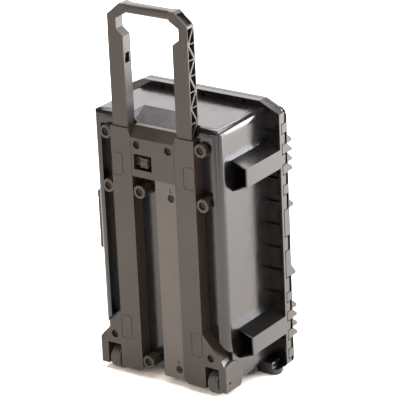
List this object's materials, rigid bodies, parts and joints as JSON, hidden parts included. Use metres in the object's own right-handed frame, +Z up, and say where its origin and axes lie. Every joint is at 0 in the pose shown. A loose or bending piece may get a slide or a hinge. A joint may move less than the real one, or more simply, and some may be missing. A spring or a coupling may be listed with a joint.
{
  "type": "wheeled equipment case",
  "caption": "Wheeled hard carrying case for a drone, with pull-out trolley handle, side carry handle, foam inserts and a hinged latching lid.",
  "frame": {"origin": "on the floor, under the middle of the whole object's bounding box", "axes": "+Z up along the pull handle, +X towards the lid's hinge side, +Y from the wheels towards the lid's front"},
  "size_m": [0.3715, 0.231, 0.769],
  "materials": {
    "shell_plastic": "black moulded polypropylene copolymer, fine grain, satin",
    "housing_plastic": "dark warm grey glass-filled nylon, satin",
    "strip_plastic": "dark warm grey moulded cover, satin",
    "handle_plastic": "dark warm grey glass-filled nylon, fine grain",
    "lever_plastic": "grey moulded lever",
    "latch_plastic": "black glass-filled nylon, satin",
    "trigger_plastic": "dark grey moulded plastic",
    "hub_plastic": "black moulded hub",
    "seal_rubber": "black neoprene",
    "grip_rubber": "black soft overmould",
    "tread": "dark polyurethane tread",
    "foam": "charcoal closed-cell polyethylene foam",
    "steel": "zinc-plated steel",
    "black_steel": "black oxide steel"
  },
  "bodies": {
    "base": {"base_shell": "shell_plastic", "base_rim": "shell_plastic", "latch_brackets": "shell_plastic", "carry_brackets": "shell_plastic", "standing_feet": "shell_plastic", "base_foam_pad": "foam", "base_foam": "foam", "hinge_pin": "steel", "handle_housing_left": "housing_plastic", "handle_housing_right": "housing_plastic", "latch_housing": "housing_plastic", "centre_strip": "strip_plastic", "housing_screws": "black_steel", "bolt_spring": "steel", "axle_left": "steel", "axle_right": "steel", "carry_handle_pins": "steel", "latch_pins": "steel", "pressure_valve": "trigger_plastic", "valve_seal": "seal_rubber"},
    "lid": {"lid_shell": "shell_plastic", "lid_seal": "seal_rubber", "lid_foam": "foam"},
    "pull_handle": {"handle_foot_left": "handle_plastic", "handle_foot_right": "handle_plastic", "handle_leg_left": "handle_plastic", "handle_leg_right": "handle_plastic", "handle_corner_left": "handle_plastic", "handle_corner_right": "handle_plastic", "handle_grip": "handle_plastic"},
    "release_lever": {"release_lever": "lever_plastic"},
    "lock_bolt_left": {"lock_bolt_left": "steel"},
    "lock_bolt_right": {"lock_bolt_right": "steel"},
    "wheel_left": {"wheel_hub_left": "hub_plastic", "wheel_tread_left": "tread"},
    "wheel_right": {"wheel_hub_right": "hub_plastic", "wheel_tread_right": "tread"},
    "carry_handle": {"carry_handle_frame": "shell_plastic", "carry_handle_grip": "grip_rubber"},
    "latch_upper": {"latch_upper": "latch_plastic", "trigger_pin_upper": "steel"},
    "latch_lower": {"latch_lower": "latch_plastic", "trigger_pin_lower": "steel"},
    "trigger_upper": {"trigger_upper": "trigger_plastic"},
    "trigger_lower": {"trigger_lower": "trigger_plastic"}
  },
  "joints": [
    {"name": "lid_hinge", "type": "hinge", "parent": "base", "child": "lid", "pos_m": [0.1765, 0.0665, 0.284], "axis": [0, 0, -1], "range_deg": [0, 105]},
    {"name": "handle_slide", "type": "slide", "parent": "base", "child": "pull_handle", "axis": [0, 0, 1], "range_m": [-0.203, 0]},
    {"name": "release_slide", "type": "slide", "parent": "base", "child": "release_lever", "axis": [0, 0, 1], "range_m": [0, 0.005]},
    {"name": "bolt_left_slide", "type": "slide", "parent": "base", "child": "lock_bolt_left", "axis": [-1, 0, 0], "range_m": [0, 0.005]},
    {"name": "bolt_right_slide", "type": "slide", "parent": "base", "child": "lock_bolt_right", "axis": [1, 0, 0], "range_m": [0, 0.005]},
    {"name": "wheel_left_spin", "type": "hinge", "parent": "base", "child": "wheel_left", "pos_m": [-0.117, -0.0905, 0.025], "axis": [1, 0, 0], "continuous": true},
    {"name": "wheel_right_spin", "type": "hinge", "parent": "base", "child": "wheel_right", "pos_m": [0.117, -0.0905, 0.025], "axis": [1, 0, 0], "continuous": true},
    {"name": "carry_handle_hinge", "type": "hinge", "parent": "base", "child": "carry_handle", "pos_m": [-0.162, -0.0155, 0.294], "axis": [0, 0, -1], "range_deg": [0, 90]},
    {"name": "latch_upper_hinge", "type": "hinge", "parent": "base", "child": "latch_upper", "pos_m": [-0.1865, 0.0415, 0.447], "axis": [0, 0, 1], "range_deg": [0, 95]},
    {"name": "latch_lower_hinge", "type": "hinge", "parent": "base", "child": "latch_lower", "pos_m": [-0.1865, 0.0415, 0.121], "axis": [0, 0, 1], "range_deg": [0, 95]},
    {"name": "trigger_upper_hinge", "type": "hinge", "parent": "latch_upper", "child": "trigger_upper", "pos_m": [-0.1875, 0.0545, 0.447], "axis": [0, 0, 1], "range_deg": [0, 12], "stiffness_Nm_per_rad": 0.02},
    {"name": "trigger_lower_hinge", "type": "hinge", "parent": "latch_lower", "child": "trigger_lower", "pos_m": [-0.1875, 0.0545, 0.121], "axis": [0, 0, 1], "range_deg": [0, 12], "stiffness_Nm_per_rad": 0.02}
  ],
  "couplings": [
    {"joint": "bolt_left_slide", "follows": "release_slide", "ratio": 1},
    {"joint": "bolt_right_slide", "follows": "release_slide", "ratio": 1}
  ]
}
